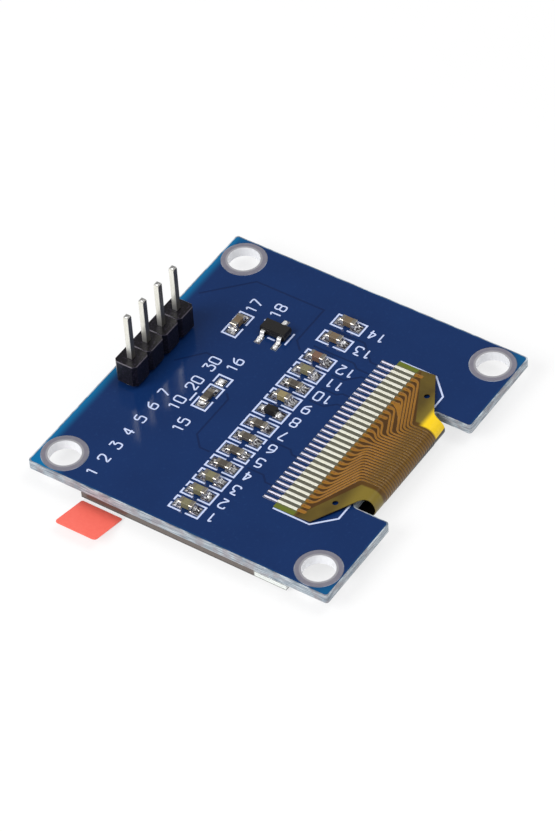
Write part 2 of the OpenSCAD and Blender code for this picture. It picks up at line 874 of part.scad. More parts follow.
// Three formed leads
module regulator_leads() {
    color("#c8c8ca") translate([reg_x, reg_y])
        for (lead = regulator_places) translate([0, lead.y, 0]) mirror([lead.x < 0 ? 1 : 0, 0, 0])
            translate([0, lead_w / 2, 0]) rotate([90, 0, 0]) linear_extrude(lead_w) lead_side();
}

// ---- Solder on the component side ----

// Side view of one joint: a thin bed under the part and a hollow fillet
module fillet_side(bed_start, wall, land_end, climb) {
    polygon(concat(
        [[bed_start, land_top], [land_end, land_top]],
        [for (i = [0 : arc_steps])
            [land_end - (land_end - wall) * sin(90 * i / arc_steps),
                seat - solder_t / 2 + (climb + solder_t / 2) * (1 - cos(90 * i / arc_steps))]],
        [[wall, seat], [bed_start, seat]]
    ));
}

// One soldered joint, facing +X
module solder_joint(bed_start, wall, land_end, climb, width) {
    translate([0, width / 2, 0]) rotate([90, 0, 0])
        linear_extrude(width) fillet_side(bed_start, wall, land_end, climb);
}

// Both joints of a part that sits on two lands
module joint_pair(length, climb) {
    for (turn = [0, 180]) rotate(turn)
        solder_joint(land_gap / 2 + solder_inset, length / 2, land_gap / 2 + land_l - solder_inset,
            climb, land_w - 2 * solder_inset);
}

// All solder between the small parts and their lands
module component_solder() {
    reg_land = reg_w / 2 + lead_reach / 2;
    color("#cfcfd2") {
        for (c = capacitors) at_chip(c) joint_pair(chip_l, capacitor_h * fillet_share);
        for (r = resistors) at_chip(r) joint_pair(chip_l, resistor_h * fillet_share);
        at_chip(diodes[0]) joint_pair(diode_l + 2 * diode_reach, lead_t);
        translate([reg_x, reg_y]) for (lead = regulator_places)
            translate([0, lead.y, 0]) rotate(lead.x < 0 ? 180 : 0)
                solder_joint(reg_land + solder_inset, reg_w / 2 + lead_reach,
                    reg_land + land_w - solder_inset, lead_t, lead_w + 2 * (lead_land_gap - solder_inset));
        translate([spare_x, jumper_y, land_top])
            edged_block([spare_land - 2 * solder_inset, spare_land - 2 * solder_inset, 4 * solder_t],
                solder_t);
    }
}

// ---- Flexible circuit ----

// Children on the climbing part of the film: y = 0 is its start, and z = 0
// is the film's upper face
module on_climb() {
    translate([0, climb_y, climb_z]) rotate([-film_climb, 0, 0]) children();
}

// Outline of the climbing part: sides, shoulders and the rounded throat
module climb_plan() {
    side = film_w / 2;
    neck = neck_w / 2;
    side_end = (climb_y - film_y + film_side) / cos(film_climb);
    shoulder = atan((climb_l - side_end - neck_r) / (side - neck - neck_r));
    arc = [for (i = [0 : arc_steps]) let (a = 180 - (90 - shoulder) * i / arc_steps)
        [neck + neck_r + neck_r * cos(a), -climb_l + neck_r * sin(a)]];
    right = concat(arc, [[side, -side_end], [side, 0]]);
    polygon(concat(right, [for (i = [len(right) - 1 : -1 : 0]) [-right[i].x, right[i].y]]));
}

// A step of length d up the climb, in the YZ plane
function climb_step(d) = d * [-cos(film_climb), sin(film_climb)];

// Points of an arc round the fold's axis, in the YZ plane, from its lap on
// the climb
function fold_arc(r) =
    let (arc = [for (i = [0 : fold_steps]) let (a = (180 + film_climb) * i / fold_steps - film_climb)
        [fold_axis_y - r * sin(a), fold_axis_z + r * cos(a)]])
    concat([arc[0] - climb_step(film_lap)], arc);

// Points of an arc where the film leaves its contacts, in the YZ plane, to
// its lap on the climb
function lift_arc(r) =
    let (arc = [for (i = [0 : lift_steps]) let (a = film_climb * i / lift_steps)
        [lift_y - r * sin(a), film_seat + lift_r - r * cos(a)]])
    concat(arc, [arc[lift_steps] + climb_step(film_lap)]);

function reversed(list) = [for (i = [len(list) - 1 : -1 : 0]) list[i]];

// A strip along X between two faces of the film, given in the YZ plane
module strip(x1, x2, upper, lower) {
    translate([x1, 0, 0]) rotate([90, 0, 90]) linear_extrude(x2 - x1)
        polygon(concat(upper, reversed(lower)));
}

// The folded part of a layer from radius r inwards, with its tail on the glass
module folded_strip(x1, x2, r, t) {
    tail = fold_axis_y + tail_l;
    strip(x1, x2,
        concat(fold_arc(r), [[tail, fold_axis_z - r]]),
        concat(fold_arc(r - t), [[tail, fold_axis_z - r + t]]));
}

// Polyimide film: contact strip, lift, climb, fold and tail in one piece
module flex_film() {
    hw = film_w / 2;
    nw = neck_w / 2;
    hole_y = (pilot_y - film_y + climb_y) / cos(film_climb);
    color("#8a6a1e") {
        strip(-hw, hw,
            concat([[film_y, film_top]], lift_arc(lift_in_r)),
            concat([[film_y, film_seat]], lift_arc(lift_r)));
        on_climb() translate([0, 0, -film_t]) linear_extrude(film_t) difference() {
            climb_plan();
            for (side = [-1, 1])
                translate([side * (hw - pilot_side) + pilot_shift, -hole_y]) circle(d = pilot_d);
        }
        folded_strip(-nw, nw, fold_r, film_t);
    }
}

// Column in the neck that track k runs to
function column_of(k) = len([for (t = tracks) if (t < k && t != joined) t]) - (k == joined ? 1 : 0);
function column_x(k) = (column_of(k) - (columns - 1) / 2) * track_pitch;

// Centre line of track k on the climb, from its root to the fold: a straight
// run between two bends, or one easy bend where the run would be too short
function track_path(k) =
    let (
        x = contact_x(k),
        run = column_x(k) - x,
        start = -track_root - track_run_in,
        end = start - abs(run) * track_slope,
        reach = track_bend_r * tan((90 - atan(track_slope)) / 2)
    )
    abs(run) > 2.5 * reach
        ? rounded_path([[x, start + 1.1 * reach], [x, start], [x + run, end], [x + run, -climb_l]],
            track_bend_r)
        : concat(
            [for (i = [0 : 2 * arc_steps]) let (s = i / (2 * arc_steps))
                [x + run * (1 - cos(180 * s)) / 2, start + reach + (end - start - 2 * reach) * s]],
            [[x + run, -climb_l]]
        );

// Copper between the two contacts that share a track
module joined_copper() {
    x = contact_x(joined);
    start = -track_root - track_run_in;
    run = 3.2 * contact_pitch;
    polygon([
        [x - contact_pitch - finger_w / 2, -track_root / 2], [x + finger_w / 2, -track_root / 2],
        [x + finger_w / 2, start - 0.05],
        [x - contact_pitch - run, start - run * track_slope - track_w / 4],
        [x - contact_pitch - run, start - run * track_slope + track_w / 4]
    ]);
}

// Copper tracks under the film's clear cover, raised a little
module flex_tracks() {
    back = film_y - finger_l;
    color("#b8732a") {
        for (k = [0 : contacts - 1])
            strip(contact_x(k) - finger_w / 2, contact_x(k) + finger_w / 2,
                concat([[back, film_top + track_t]], lift_arc(lift_in_r - track_t)),
                concat([[back, film_top]], lift_arc(lift_in_r)));
        on_climb() linear_extrude(track_t) {
            for (k = [0 : contacts - 1])
                translate([contact_x(k) - finger_w / 2, -track_root])
                    square([finger_w, track_root]);
            for (k = tracks) if (k != joined) ribbon(track_path(k), track_w);
            joined_copper();
        }
        for (c = [0 : columns - 1]) {
            x = (c - (columns - 1) / 2) * track_pitch;
            half = track_w / 2 - track_narrowing;
            folded_strip(x - half, x + half, fold_r + track_t, track_t);
        }
    }
}

// Side view of a tinned contact: solder under the film, round its edge and
// along the finger on top
module contact_side() {
    wrap = 0.06;
    back = film_y - finger_l;
    polygon([
        [film_y + wrap * 2, land_top], [film_y + wrap, film_top],
        [film_y, film_top + track_t], [back, film_top + track_t], [back, film_top],
        [film_y, film_top], [film_y, film_seat], [back, film_seat], [back, land_top]
    ]);
}

// Soldered contacts of the flexible circuit
module flex_contacts() {
    color("#d6d4cc") for (k = [0 : contacts - 1])
        translate([contact_x(k) - finger_w / 2, 0, 0]) rotate([90, 0, 90])
            linear_extrude(finger_w) contact_side();
}

// ---- Display panel ----

// A plate centred on x = 0 that runs from y1 up to y2, and z1 up to z2
module plate(width, y1, y2, z1, z2) {
    translate([-width / 2, y1, z1]) cube([width, y2 - y1, z2 - z1]);
}

// Cover glass with a shallow hollow over the light-emitting layers
module cover_glass() {
    color("#5c6468") difference() {
        plate(glass_w, cover_y, glass_y, ledge_top, cover_top);
        plate(glass_w - 2 * seal_w, cover_y + seal_w, glass_y - seal_w,
            ledge_top - through, ledge_top + hollow_depth);
    }
}

// Base glass, which reaches past the cover glass as a ledge
module base_glass() {
    color("#4c5458") plate(glass_w, ledge_y, glass_y, base_bottom, ledge_top);
}

// Light-emitting layers on the base glass
module emitter_layers() {
    color("#20242c") plate(glass_w - 2 * emitter_side, cover_y + emitter_end, glass_y - emitter_end,
        ledge_top, ledge_top + emitter_t);
}

// Polariser on the viewing side
module polariser() {
    color("#1c1e22") plate(glass_w - 2 * polariser_inset, cover_y + polariser_inset,
        glass_y - polariser_inset, polariser_bottom, base_bottom);
}

// Bare driver chip bonded on the ledge
module driver_chip() {
    y = cover_y - driver_gap;
    color("#2e3034") plate(driver_l, y - driver_w, y, ledge_top, ledge_top + driver_t);
}

// Two strips of tape between the board and the cover glass
module mounting_tape() {
    color("#e8e8e4") for (side = [-1, 1])
        translate([side * (glass_w / 2 - tape_inset - tape_w / 2), 0, 0])
            plate(tape_w, cover_y + tape_inset, glass_y - tape_inset, cover_top, mask_front);
}

// ---- Protective film and pull tab ----

film_bottom = polariser_bottom - cover_film_t;
film_middle = polariser_bottom - cover_film_t / 2;
bend_x = -glass_w / 2 - tongue_bend;
tab_top_y = glass_y - tab_inset;

// Side view of the tongue: flat out to its bend, then rising
module tongue_side() {
    ribbon([
        [-glass_w / 2 + 2 * polariser_inset, film_middle], [bend_x, film_middle],
        [bend_x - tongue_l * cos(tab_tilt), film_middle + tongue_l * sin(tab_tilt)]
    ], cover_film_t);
}

// Clear film on the polariser with a tongue for the pull tab
module protective_film() {
    inset = polariser_inset - cover_film_lap;
    color("#b8c4cc") {
        plate(glass_w - 2 * inset, cover_y + inset, glass_y - inset, film_bottom, polariser_bottom);
        translate([0, tab_top_y, 0]) rotate([90, 0, 0]) linear_extrude(tab_w) tongue_side();
    }
}

// Outline of the pull tab, from its inner end at x = 0
module tab_plan() {
    r = tab_corner_r;
    polygon(rounded_outline([[-tab_l, -tab_w], [0, -tab_w], [0, 0], [-tab_l, 0]], [r, r / 2, r / 2, r]));
}

// Coloured tab stuck on the rising part of the tongue
module pull_tab() {
    color("#ff7060") translate([bend_x, tab_top_y, film_middle]) rotate([0, tab_tilt, 0])
        translate([-tab_start, 0, cover_film_t / 2]) linear_extrude(tab_t) tab_plan();
}

// ---- Pieces ----

circuit_board();
solder_mask_rear();
solder_mask_front();
printed_outlines();
mounting_hole_plating();
header_hole_plating();
component_lands();
flex_lands();
header_housing();
for (i = [1 : header_pins])
    header_pin(i);
header_solder();
component_solder();
for (i = [1 : len(capacitors)]) {
    capacitor_body(i - 1);
    capacitor_end_caps(i - 1);
}
for (i = [1 : len(resistors)]) {
    resistor_body(i - 1);
    resistor_end_caps(i - 1);
}
diode_body();
diode_leads();
regulator_body();
regulator_leads();
flex_film();
flex_tracks();
flex_contacts();
cover_glass();
base_glass();
emitter_layers();
polariser();
driver_chip();
mounting_tape();
protective_film();
pull_tab();
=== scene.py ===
"""Looks of a small graphic display module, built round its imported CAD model.

The module lies on its glass with the component side up. Lengths are written in
millimetres and become metres through mm. X runs along the pin header, Y points
from the board's middle to the header, and Z leaves the component side.
"""

import math

import bpy
from mathutils import Matrix, Vector, noise
from mathutils.geometry import delaunay_2d_cdt


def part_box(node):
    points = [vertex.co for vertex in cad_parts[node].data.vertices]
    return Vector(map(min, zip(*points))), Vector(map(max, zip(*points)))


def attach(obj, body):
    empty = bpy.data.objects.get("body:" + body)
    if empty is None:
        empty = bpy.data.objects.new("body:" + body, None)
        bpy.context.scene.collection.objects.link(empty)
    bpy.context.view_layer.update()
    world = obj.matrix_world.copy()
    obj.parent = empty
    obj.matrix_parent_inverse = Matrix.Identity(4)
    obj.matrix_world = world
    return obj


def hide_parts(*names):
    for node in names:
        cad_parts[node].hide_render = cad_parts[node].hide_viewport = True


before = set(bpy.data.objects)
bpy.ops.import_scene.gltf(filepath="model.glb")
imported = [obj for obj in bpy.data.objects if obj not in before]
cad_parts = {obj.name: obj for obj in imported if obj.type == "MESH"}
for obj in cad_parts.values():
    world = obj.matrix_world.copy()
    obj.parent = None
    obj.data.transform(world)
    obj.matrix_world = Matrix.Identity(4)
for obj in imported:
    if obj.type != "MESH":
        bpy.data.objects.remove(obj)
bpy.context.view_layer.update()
mm = 0.001


# ---- Studio ----
# A pale table under a wide soft box, in a white room with a grey ceiling. The
# lens is long and looks down at the header's corner of the board.

def srgb(red, green, blue):
    """A colour given as 0 to 255 on a screen, as Blender's linear RGBA."""
    shares = [c / 255 for c in (red, green, blue)]
    return (*(c / 12.92 if c <= 0.04 else ((c + 0.055) / 1.055) ** 2.4 for c in shares), 1.0)


def add_node(tree, kind, settings, inputs, output=0):
    """Adds a node, sets its settings and then its sockets, and returns one output as a Value."""
    made = tree.nodes.new("ShaderNode" + kind)
    for name, value in settings.items():
        if name == "stops":
            ramp = made.color_ramp
            while len(ramp.elements) < len(value):
                ramp.elements.new(0.5)
            for element, (position, colour) in zip(ramp.elements, value):
                element.position = position
                element.color = colour
        else:
            setattr(made, name, value)
    for name, value in inputs.items():
        feed(tree, made.inputs[name], value)
    return Value(made.outputs[output])


def feed(tree, socket, value):
    """Links a Value to a socket, or sets a plain number or colour on it."""
    if isinstance(value, Value):
        tree.links.new(value.socket, socket)
    else:
        socket.default_value = value


class Value:
    """A node's output. Arithmetic on it adds Math nodes to its tree."""

    def __init__(self, socket):
        self.socket = socket

    def math(self, operation, *values):
        return add_node(self.socket.id_data, "Math", {"operation": operation}, dict(enumerate(values)))

    def __add__(self, other):
        return self.math("ADD", self, other)

    def __sub__(self, other):
        return self.math("SUBTRACT", self, other)

    def __mul__(self, other):
        return self.math("MULTIPLY", self, other)

    def __rsub__(self, other):
        return self.math("SUBTRACT", other, self)

    def __pow__(self, power):
        return self.math("POWER", self, power)

    __radd__ = __add__

    def least(self, other):
        return self.math("MINIMUM", self, other)

    def most(self, other):
        return self.math("MAXIMUM", self, other)

    def size(self):
        return self.math("ABSOLUTE", self)


def smooth_step(value, low, high):
    """0 where value is under low, 1 where it is over high, and a soft ramp between."""
    return add_node(value.socket.id_data, "MapRange", {"interpolation_type": "SMOOTHSTEP"},
                    {"Value": value, "From Min": low, "From Max": high})


floor_white = srgb(250, 250, 250)
shadow_share = 0.25
room_light = 0.50
ceiling_light = 0.30


def seen_directly(tree):
    """1 on rays that show the background: from the camera, from a reflection or through glass."""
    camera = add_node(tree, "LightPath", {}, {}, "Is Camera Ray")
    glossy = add_node(tree, "LightPath", {}, {}, "Is Glossy Ray")
    clear = add_node(tree, "LightPath", {}, {}, "Is Transmission Ray")
    return camera, glossy, clear


scene = bpy.context.scene
scene.view_settings.view_transform = "Standard"

world = bpy.data.worlds.new("studio_room")
world.use_nodes = True
scene.world = world
room = world.node_tree
camera_ray, glossy_ray, clear_ray = seen_directly(room)
direction = add_node(room, "TexCoord", {}, {}, "Generated")
height = add_node(room, "SeparateXYZ", {}, {0: direction}, "Z")
overhead = smooth_step(height, 0.25, 0.6)
mirrored = 1.0 - overhead * (1.0 - ceiling_light)
background = camera_ray.most(clear_ray)
strength = background + (1.0 - background) * (glossy_ray * mirrored + (1.0 - glossy_ray) * room_light)
feed(room, room.nodes["Background"].inputs["Strength"], strength)
room.nodes["Background"].inputs["Color"].default_value = (1, 1, 1, 1)

table_reach = 3.0
table_gap = 0.02
table_corners = [(x * table_reach, y * table_reach, 0) for x, y in ((-1, -1), (1, -1), (1, 1), (-1, 1))]
table = bpy.data.meshes.new("table")
table.from_pydata(table_corners, [], [(0, 1, 2, 3)])
table_top = bpy.data.objects.new("table", table)
scene.collection.objects.link(table_top)
table_top.location.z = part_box("protective_film")[0].z - table_gap * mm

paper = bpy.data.materials.new("white_paper")
paper.use_nodes = True
sheet = paper.node_tree
camera_ray, glossy_ray, clear_ray = seen_directly(sheet)
shown = camera_ray.most(glossy_ray).most(clear_ray) * (1.0 - shadow_share)
grain = add_node(sheet, "TexNoise", {}, {"Scale": 300.0}, "Fac")
base = add_node(sheet, "Mix", {"data_type": "RGBA"}, {0: grain, 6: srgb(244, 244, 244), 7: floor_white}, 2)
dull = add_node(sheet, "BsdfDiffuse", {}, {"Color": base})
lit = add_node(sheet, "Emission", {}, {"Strength": 1.0})
mixed = add_node(sheet, "MixShader", {}, {0: shown, 1: dull, 2: lit})
feed(sheet, sheet.nodes["Material Output"].inputs["Surface"], mixed)
table.materials.append(paper)


def soft_box(name, place, side, power):
    """A square area lamp that faces the board's centre, with its place and side in millimetres."""
    lamp = bpy.data.lights.new(name, "AREA")
    lamp.size = side * mm
    lamp.energy = power
    holder = bpy.data.objects.new(name, lamp)
    holder.location = Vector(place) * mm
    holder.rotation_euler = Vector(place).to_track_quat("Z", "Y").to_euler()
    scene.collection.objects.link(holder)


soft_box("key_box", (-420, 160, 420), 300, 2.4)
soft_box("top_box", (120, -200, 560), 260, 1.0)

azimuth, elevation, roll = (math.radians(a) for a in (-53.54, 45.88, -4.25))
look_at = Vector((-0.94, -0.32, 0)) * mm
camera_distance = 408
back = Vector((math.sin(azimuth) * math.cos(elevation),
               -math.cos(azimuth) * math.cos(elevation), math.sin(elevation)))
level = Vector((0, 0, 1)).cross(back).normalized()
right = math.cos(roll) * level + math.sin(roll) * back.cross(level)
lens = bpy.data.cameras.new("camera")
lens.lens = 187
lens.sensor_width = 36
lens.clip_start = 0.01
camera = bpy.data.objects.new("camera", lens)
turn = Matrix((right, back.cross(right), back)).transposed().to_4x4()
camera.matrix_world = Matrix.Translation(look_at + back * camera_distance * mm) @ turn
scene.collection.objects.link(camera)
scene.camera = camera


# ---- Board laminate ----
# Woven glass cloth in pale resin, routed to its outline. The cut edge shows the
# cloth as thin paler layers.

class Finish:
    """A material in the making. Its sockets are set on creation, and at is the point in millimetres."""

    def __init__(self, name, **sockets):
        self.material = bpy.data.materials.new(name)
        self.material.use_nodes = True
        self.tree = self.material.node_tree
        self.shader = self.tree.nodes["Principled BSDF"]
        place = self.node("TexCoord", {}, {}, "Object")
        self.at = self.node("VectorMath", {"operation": "SCALE"}, {0: place, "Scale": 1 / mm})
        self.set(**sockets)

    def node(self, kind, settings, inputs, output=0):
        return add_node(self.tree, kind, settings, inputs, output)

    def set(self, **sockets):
        """Feeds the surface's own sockets, named in lower case with _ for a space."""
        names = {socket.name.lower().replace(" ", "_"): socket for socket in self.shader.inputs}
        for name, value in sockets.items():
            feed(self.tree, names[name], value)

    def axis(self, letter):
        """One coordinate of the surface point, in millimetres."""
        return self.node("SeparateXYZ", {}, {0: self.at}, letter)

    def grain(self, size, stretch=(1, 1, 1), detail=2.0):
        """Cloudy noise from 0 to 1 whose spots are about size millimetres, longer where stretch is over 1."""
        cell = tuple(size * share for share in stretch)
        point = self.node("VectorMath", {"operation": "DIVIDE"}, {0: self.at, 1: cell})
        return self.node("TexNoise", {}, {"Vector": point, "Scale": 1.0, "Detail": detail}, "Fac")

    def mix(self, share, first, second):
        """A colour between two."""
        return self.node("Mix", {"data_type": "RGBA"}, {0: share, 6: first, 7: second}, 2)

    def bump(self, relief, depth, strength=1.0):
        """Raises the surface by depth millimetres where relief is 1."""
        normal = self.node("Bump", {}, {"Height": relief, "Distance": depth * mm, "Strength": strength})
        self.set(normal=normal)


def sizes(node):
    """A CAD node's lowest and highest corners, in millimetres."""
    low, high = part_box(node)
    return low / mm, high / mm


def piece(name, vertices, faces, finish, slot, stands_for):
    """A new smooth mesh piece from points in millimetres, which stands for CAD nodes."""
    mesh = bpy.data.meshes.new(name)
    mesh.from_pydata([v * mm for v in vertices], [], faces)
    mesh.shade_smooth()
    mesh.set_sharp_from_angle(angle=math.radians(40))
    mesh.materials.append(finish.material)
    made = bpy.data.objects.new(name, mesh)
    scene.collection.objects.link(made)
    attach(made, "root")
    for node in stands_for:
        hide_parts(node)


def dress(names, finish):
    """Gives CAD nodes a finish."""
    for name in names:
        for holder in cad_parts[name].material_slots:
            holder.material = finish.material


laminate = Finish("laminate", roughness=0.55, specular_ior_level=0.3)
plies = laminate.grain(0.12, stretch=(12, 12, 0.5))
cloth = laminate.mix(smooth_step(plies, 0.35, 0.65), srgb(108, 122, 136), srgb(192, 200, 206))
blotch = smooth_step(laminate.grain(1.2), 0.45, 0.65)
laminate.set(base_color=laminate.mix(blotch * 0.45, cloth, srgb(146, 130, 132)))
laminate.bump(plies, 0.02)
dress(["circuit_board"], laminate)


# ---- Solder mask ----
# Glossy blue lacquer, sunk a little where there is no copper under it. Cyan is
# painted at the header's edge and corners: painted light for daylight through the laminate.

board_high = sizes("circuit_board")[1]
half_w, half_d = board_high.x, board_high.y
mask_top = sizes("solder_mask_rear")[1].z
channel_depth = 0.012

mask = Finish("solder_mask", roughness=0.13, specular_ior_level=0.26)
across, along, up = mask.axis("X"), mask.axis("Y"), mask.axis("Z")
to_header_edge = half_d - along
to_side = half_w - across.size()
to_any_edge = to_side.least(half_d - along.size())
to_far_corner = to_side + half_d - along.size()
# Painted light: cyan near the header's edge, the left corner, the far corners and every rim, for daylight
# through the laminate.
edge_glow = 1.0 - smooth_step(to_header_edge, 0.0, 1.2)
left_glow = 1.0 - smooth_step(half_w + across + to_header_edge, 2.2, 4.6)
corner_glow = (1.0 - smooth_step(to_far_corner, 0.6, 3.4)) * 0.55
rim_glow = (1.0 - smooth_step(to_any_edge, 0.0, 0.35)) * 0.3
painted_glow = edge_glow.most(left_glow).most(corner_glow).most(rim_glow)
copper_blue = mask.mix(mask.grain(6.0), srgb(14, 40, 86), srgb(18, 48, 98))
speckles = smooth_step(mask.grain(0.35, detail=4.0), 0.55, 0.8)
speckled = mask.mix(speckles * 0.3, copper_blue, srgb(34, 66, 118))
sunk = 1.0 - smooth_step(up, mask_top - channel_depth * 0.9, mask_top - channel_depth * 0.1)
bare = mask.mix(sunk * smooth_step(up, -0.5, 0.0) * 0.5, speckled, srgb(10, 24, 60))
mask.set(base_color=mask.mix(painted_glow * 0.85, bare, srgb(0, 112, 164)))
mask.bump(mask.grain(0.5), 0.0015)
dress(["solder_mask_rear", "solder_mask_front"], mask)


# ---- Printed outlines ----
# White ink printed through a fine mesh, a little uneven.

ink = Finish("white_ink", roughness=0.5, specular_ior_level=0.2)
ink.set(base_color=ink.mix(ink.grain(0.15), srgb(178, 192, 232), srgb(214, 224, 248)))
ink.bump(ink.grain(0.08), 0.004)
dress(["printed_outlines"], ink)


# ---- Plated holes ----
# Copper rings and sleeves coated with levelled tin: a grey ring with a brighter
# inner rim, and walls painted near white and less metallic as painted light from below.

ring_r, bore_r = 2.25, 1.6
ring_corner = sizes("mounting_hole_plating")[1]
hole_x, hole_y = ring_corner.x - ring_r, ring_corner.y - ring_r

hole_tin = Finish("levelled_tin", roughness=0.36)
from_x = hole_tin.axis("X").size() - hole_x
from_y = hole_tin.axis("Y").size() - hole_y
radius = (from_x * from_x + from_y * from_y) ** 0.5
inner_rim = 1.0 - smooth_step(radius, bore_r + 0.15, bore_r + 0.3)
# Painted light: the bore's wall is near white and less metallic, for the light it catches from below.
painted_lit_wall = 1.0 - smooth_step(radius, bore_r + 0.005, bore_r + 0.03)
ring_tone = hole_tin.mix(hole_tin.grain(0.5), srgb(182, 178, 196), srgb(206, 203, 218))
lighter = hole_tin.mix(inner_rim, ring_tone, srgb(236, 235, 242))
hole_tin.set(base_color=hole_tin.mix(painted_lit_wall, lighter, srgb(246, 247, 250)), metallic=1.0 - painted_lit_wall * 0.9)
hole_tin.bump(hole_tin.grain(0.3), 0.01)
dress(["mounting_hole_plating"], hole_tin)

sleeve_tin = Finish("sleeve_tin", metallic=1.0, roughness=0.32)
sleeve_tin.set(base_color=sleeve_tin.mix(sleeve_tin.grain(0.3), srgb(196, 192, 200), srgb(226, 224, 230)))
sleeve_tin.bump(sleeve_tin.grain(0.2), 0.01)
dress(["header_hole_plating"], sleeve_tin)


# ---- Solder lands ----
# Tinned copper pads. Those of the flexible circuit are painted dark navy between its beads: painted shade.

land_tin = Finish("tinned_land", metallic=1.0, roughness=0.22)
land_tin.set(base_color=land_tin.mix(land_tin.grain(0.2), srgb(54, 52, 64), srgb(140, 136, 144)))
land_tin.bump(land_tin.grain(0.35), 0.01)
dress(["component_lands"], land_tin)

# Painted shade: the flexible circuit's lands are dark navy, for the shade between the solder beads.
dull_land = Finish("dull_land", metallic=0.6, roughness=0.35)
dull_land.set(base_color=dull_land.mix(dull_land.grain(0.2), srgb(36, 36, 84), srgb(64, 62, 112)))
dull_land.bump(dull_land.grain(0.15), 0.01)
dress(["flex_lands"], dull_land)


# ---- Pin header ----
# Four units of black moulded plastic with square tin-plated pins, whose tips are
# rounded by the cutting tool.

housing = Finish("black_moulding", roughness=0.36, specular_ior_level=0.3)
housing_top = sizes("header_housing")[1].z
speck = smooth_step(housing.grain(0.2, detail=3.0), 0.5, 0.7)
# A lighter band just under the top edge: wear and a painted highlight.
wear_and_highlight_edge = smooth_step(housing.axis("Z"), housing_top - 0.1, housing_top - 0.06)
wear_and_highlight_edge = wear_and_highlight_edge * (1.0 - smooth_step(housing.axis("Z"), housing_top - 0.02, housing_top - 0.005))
moulded = housing.mix(speck, srgb(10, 8, 14), srgb(44, 38, 52))
housing.set(base_color=housing.mix(wear_and_highlight_edge * 0.45, moulded, srgb(112, 106, 120)))
housing.bump(housing.grain(0.2), 0.02)
dress(["header_housing"], housing)

pin_count = 4
pin_low, pin_high = sizes("header_pin_1")
header_line = (pin_low.y + pin_high.y) / 2
half_pin = pin_high.y - header_line
pin_top = pin_high.z
edge_cut = 0.04
pin_plate = Finish("pin_plating", metallic=0.7, roughness=0.28)
off_line = (pin_plate.axis("Y") - header_line).size()
# Painted shade: the faces that point towards and away from the board's middle are darker grey.
painted_shade_faces = smooth_step(off_line, half_pin - edge_cut, half_pin - edge_cut / 2)
drawn = pin_plate.grain(0.12, stretch=(1, 1, 12))
bright_tin = pin_plate.mix(drawn, srgb(222, 220, 208), srgb(255, 253, 244))
# Darker near the housing and at the tip: a painted reflection of the black housing at the foot, and painted
# shade on the rounded tip.
near_foot = 1.0 - smooth_step(pin_plate.axis("Z"), housing_top, housing_top + 1.6)
near_tip = smooth_step(pin_plate.axis("Z"), pin_top - 0.3, pin_top - 0.05)
painted_dark_ends = pin_plate.mix(near_foot.most(near_tip) * 0.75, bright_tin, srgb(136, 136, 140))
pin_plate.set(base_color=pin_plate.mix(painted_shade_faces, painted_dark_ends, srgb(112, 110, 106)))
pin_plate.bump(pin_plate.grain(0.06, stretch=(1, 1, 20)), 0.004)


def loft(rings):
    """Vertices and faces of a closed solid over anticlockwise rings of points, the lowest first."""
    n = len(rings[0])
    vertices = [point for ring in rings for point in ring]
    faces = [(r * n + j, r * n + (j + 1) % n, (r + 1) * n + (j + 1) % n, (r + 1) * n + j)
             for r in range(len(rings) - 1) for j in range(n)]
    return vertices, faces + [tuple(reversed(range(n))), tuple(range(len(vertices) - n, len(vertices)))]


tip = [(0.0, 0.3), (0.02, 0.5), (0.07, 0.72), (0.15, 0.9), (0.3, 1.0), (0.34, 1.0)]
quarter = [Vector((half_pin, half_pin - edge_cut, 0)), Vector((half_pin - edge_cut, half_pin, 0))]
section = [Matrix.Rotation(math.radians(90 * k), 3, "Z") @ corner for k in range(4) for corner in quarter]
for i in range(1, pin_count + 1):
    low, high = sizes(f"header_pin_{i}")
    centre = Vector(((low.x + high.x) / 2, header_line, 0))
    levels = [(low.z + depth, scale) for depth, scale in tip]
    levels += [(high.z - depth, scale) for depth, scale in reversed(tip)]
    rings = [[centre + corner * scale + Vector((0, 0, z)) for corner in section] for z, scale in levels]
    piece(f"square_pin_{i}", *loft(rings), pin_plate, "pin", [f"header_pin_{i}"])

solder = Finish("solder", metallic=0.9, roughness=0.15)
streak = smooth_step(solder.grain(0.18, stretch=(1, 2.5, 1)), 0.4, 0.62)
solder.set(base_color=solder.mix(streak, srgb(70, 66, 74), srgb(252, 252, 254)))
solder.bump(solder.grain(0.4, detail=1.0), 0.07)
dress(["component_solder"], solder)

joint = Finish("joint_solder", metallic=0.85, roughness=0.24)
joint.set(base_color=joint.mix(joint.grain(0.5), srgb(176, 174, 178), srgb(240, 240, 244)))
joint.bump(joint.grain(0.5, detail=1.0), 0.02)
dress(["header_solder"], joint)


# ---- Chip capacitors and resistors ----
# Sintered blocks with plated ends, and a moulded diode and regulator with tinned
# leads. Round drops of solder stand on the lands of those two, on a spare land
# and at one end of a resistor and of a capacitor.

def ceramic(name, dark, light):
    finish = Finish(name, roughness=0.5, specular_ior_level=0.4)
    finish.set(base_color=finish.mix(finish.grain(0.12), dark, light))
    finish.bump(finish.grain(0.06), 0.005)
    return finish


olive = ceramic("olive_ceramic", srgb(96, 92, 68), srgb(138, 132, 100))
tan = ceramic("tan_ceramic", srgb(118, 106, 70), srgb(156, 142, 102))
brown = ceramic("brown_ceramic", srgb(88, 74, 58), srgb(130, 112, 88))
red_brown = ceramic("red_brown_ceramic", srgb(92, 64, 50), srgb(134, 104, 84))
black_ceramic = ceramic("dark_ceramic", srgb(22, 20, 20), srgb(104, 96, 86))
capacitor_finishes = [olive, olive, olive, tan, olive, red_brown, brown, brown, brown]
resistor_count = 6
for i, finish in enumerate(capacitor_finishes, 1):
    dress([f"capacitor_{i}_body"], finish)
dress([f"resistor_{i}_body" for i in range(1, resistor_count + 1)], black_ceramic)

